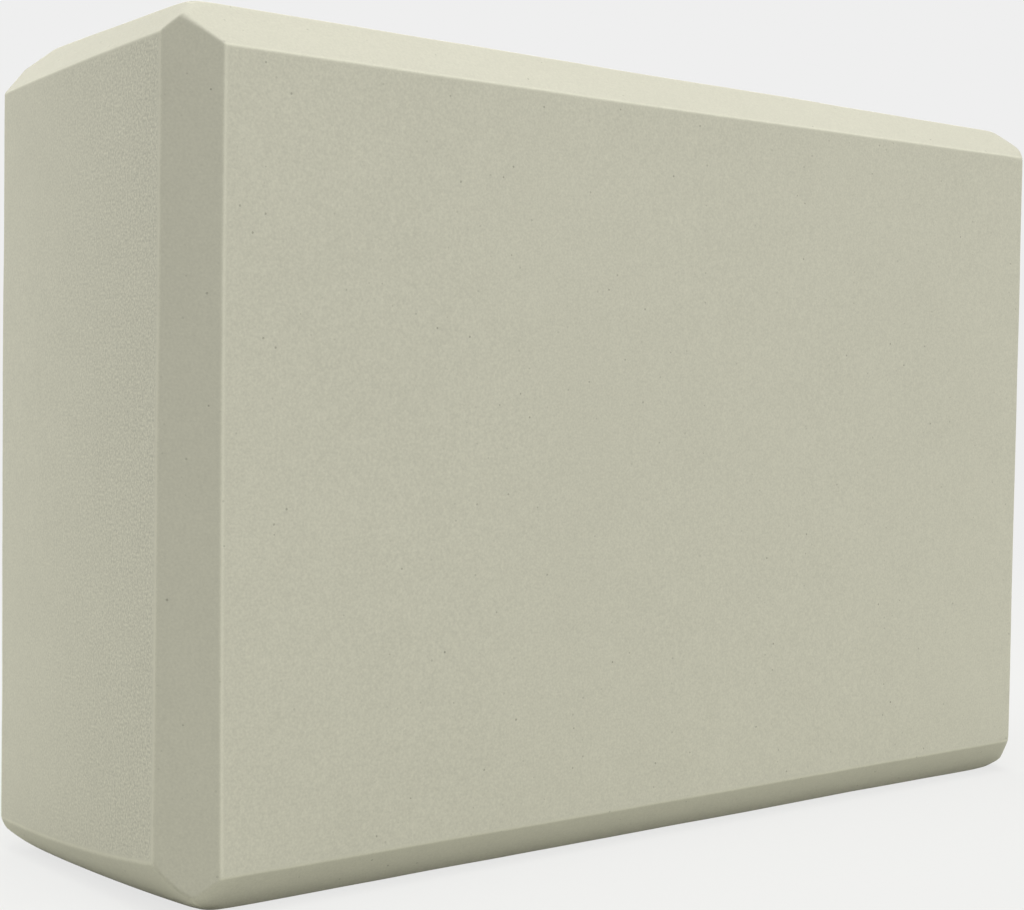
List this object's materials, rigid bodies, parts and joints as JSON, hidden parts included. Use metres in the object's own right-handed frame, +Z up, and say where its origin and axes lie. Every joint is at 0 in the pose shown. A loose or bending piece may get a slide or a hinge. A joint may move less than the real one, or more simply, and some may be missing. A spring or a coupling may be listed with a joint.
{
  "type": "yoga block",
  "caption": "Rectangular firm foam yoga block with bevelled edges and mitred corners, a hand, seat or foot support that rests on any of its flat faces.",
  "frame": {"origin": "under the middle of the long side that the block stands on", "axes": "+X along the length, +Y through the thickness from the front broad face to the back one, +Z up"},
  "size_m": [0.2286, 0.0762, 0.1524],
  "materials": {
    "foam": "matte closed-cell foam, pale grey-green, fine cell grain with sparse open pits"
  },
  "bodies": {
    "root": {"foam_block": "foam"}
  },
  "joints": []
}
